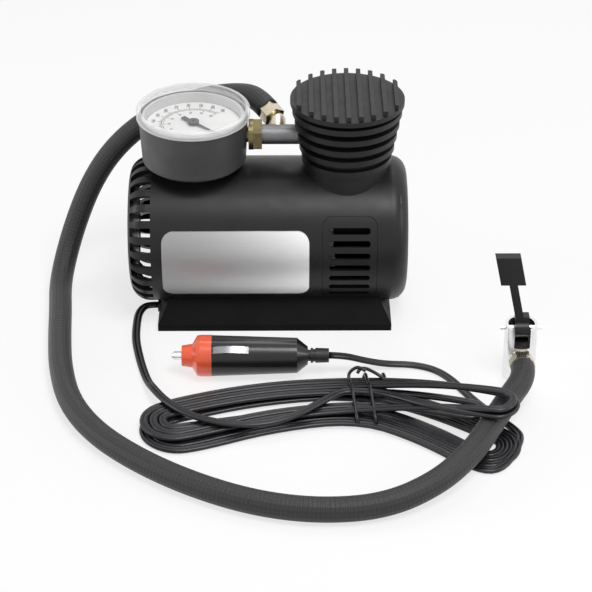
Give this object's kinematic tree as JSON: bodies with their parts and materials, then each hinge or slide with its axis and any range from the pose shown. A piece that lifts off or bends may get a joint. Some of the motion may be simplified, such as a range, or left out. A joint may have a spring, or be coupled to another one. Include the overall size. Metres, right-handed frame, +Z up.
{
  "type": "portable tire inflator",
  "caption": "Barrel-shaped 12 V air compressor with a finned cylinder head, a round pressure gauge, an air hose with a lever chuck, and a power cord with a car socket plug.",
  "frame": {"origin": "on the floor, under the middle of the motor housing", "axes": "+X along the housing towards the cylinder head, -Y to the front with the name plate, +Z up"},
  "size_m": [0.2545, 0.2507, 0.1198],
  "materials": {
    "housing_plastic": "black moulded plastic, fine satin grain",
    "foot_plastic": "black moulded plastic",
    "plate_silver": "brushed silver foil plate, bare",
    "head_casting": "black painted casting, satin",
    "grey_tube": "dull grey metal tube",
    "brass": "turned brass, slightly dulled",
    "gauge_shell": "black pressed case",
    "gauge_window": "clear moulded window",
    "dial_white": null,
    "needle_black": "black painted pointer",
    "plug_black": "black moulded plastic",
    "plug_orange": "orange-red moulded plastic",
    "plated_steel": "nickel-plated",
    "fuse_glass": "glass tube fuse",
    "spring_steel": "spring wire",
    "cord_rubber": "black flexible cord jacket",
    "hose_rubber": "black braided hose cover",
    "lever_plastic": "black moulded plastic",
    "seal_rubber": "black rubber",
    "ferrule_brass": "turned brass",
    "steel": "machined steel",
    "cast_alloy": "cast alloy",
    "gear_nylon": "white nylon",
    "copper": "copper",
    "magnet": "ferrite"
  },
  "bodies": {
    "root": {"bourdon_tube": "brass", "chuck_body": "plated_steel", "chuck_gasket": "seal_rubber", "chuck_pin": "plated_steel", "cord_gland": "cord_rubber", "cord_hank": "cord_rubber", "cord_lead": "cord_rubber", "cord_tail": "cord_rubber", "cord_tie": "cord_rubber", "cylinder_head": "head_casting", "cylinder_sleeve": "steel", "dial_face": "dial_white", "foot": "foot_plastic", "gauge_case": "gauge_shell", "gauge_lens": "gauge_window", "gauge_nut": "brass", "gauge_stem": "brass", "gear_frame": "cast_alloy", "head_gasket": "seal_rubber", "hose": "hose_rubber", "hose_elbow": "brass", "hose_ferrule": "ferrule_brass", "hose_nut": "brass", "housing_front": "housing_plastic", "housing_rear": "housing_plastic", "motor_brushes": "copper", "motor_can": "steel", "motor_end_cap": "gear_nylon", "motor_magnets": "magnet", "movement_frame": "brass", "nameplate": "plate_silver", "outlet_tube": "grey_tube", "plug_body": "plug_black", "plug_boot": "cord_rubber", "plug_cap": "plug_orange", "plug_spring": "spring_steel", "reed_valve": "spring_steel", "screws": "steel", "shaft_bushes": "ferrule_brass", "valve_plate": "brass", "vent_grille": "housing_plastic"},
    "armature": {"motor_shaft": "steel", "armature_core": "steel", "armature_copper": "copper", "drive_pinion": "steel"},
    "crank": {"crank_gear": "gear_nylon", "crank_shaft": "steel"},
    "piston_body": {"piston": "cast_alloy", "piston_ring": "seal_rubber"},
    "rod": {"connecting_rod": "cast_alloy", "rod_pins": "steel"},
    "needle_body": {"needle": "needle_black", "needle_spindle": "brass"},
    "sector_body": {"gauge_sector": "brass"},
    "lever_body": {"chuck_lever": "lever_plastic"},
    "plunger_body": {"chuck_plunger": "lever_plastic"},
    "plug_tip": {"plug_pin": "plated_steel", "plug_fuse": "fuse_glass"},
    "contact_front_body": {"contact_front": "plated_steel"},
    "contact_rear_body": {"contact_rear": "plated_steel"}
  },
  "joints": [
    {"name": "motor_spin", "type": "hinge", "parent": "root", "child": "armature", "pos_m": [0, 0, 0.0224], "axis": [1, 0, 0], "continuous": true},
    {"name": "crank_spin", "type": "hinge", "parent": "root", "child": "crank", "pos_m": [0.0315, 0, 0.0413], "axis": [1, 0, 0], "continuous": true},
    {"name": "piston_slide", "type": "slide", "parent": "root", "child": "piston_body", "axis": [0, 0, 1], "range_m": [-0.012, 0]},
    {"name": "rod_swing", "type": "hinge", "parent": "piston_body", "child": "rod", "pos_m": [0.04075, 0, 0.0833], "axis": [1, 0, 0], "range_deg": [-9.6, 9.6]},
    {"name": "needle_turn", "type": "hinge", "parent": "root", "child": "needle_body", "pos_m": [-0.03795, 0.00012, 0.0821], "axis": [0, 0.0087, -1], "range_deg": [0, 270]},
    {"name": "sector_swing", "type": "hinge", "parent": "root", "child": "sector_body", "pos_m": [-0.04995, 0.00012, 0.0821], "axis": [0, 0.0087, -1], "range_deg": [-54, 0]},
    {"name": "lever_tip", "type": "hinge", "parent": "root", "child": "lever_body", "pos_m": [0.1265, -0.079, 0.0286], "axis": [1, 0, 0], "range_deg": [0, 85]},
    {"name": "plunger_press", "type": "slide", "parent": "root", "child": "plunger_body", "axis": [0, 0, -1], "range_m": [0, 0.0012]},
    {"name": "plug_tip_press", "type": "slide", "parent": "root", "child": "plug_tip", "axis": [1, 0, 0], "range_m": [0, 0.002], "stiffness_N_per_m": 800},
    {"name": "contact_front_press", "type": "slide", "parent": "root", "child": "contact_front_body", "axis": [0, 0.6428, -0.766], "range_m": [0, 0.0012], "stiffness_N_per_m": 1000},
    {"name": "contact_rear_press", "type": "slide", "parent": "root", "child": "contact_rear_body", "axis": [0, -0.6428, 0.766], "range_m": [0, 0.0012], "stiffness_N_per_m": 1000}
  ],
  "couplings": [
    {"joint": "crank_spin", "follows": "motor_spin", "ratio": -0.28571},
    {"joint": "sector_swing", "follows": "needle_turn", "ratio": -0.2},
    {"joint": "plunger_press", "follows": "lever_tip", "m_per_rad": 0.0008}
  ]
}
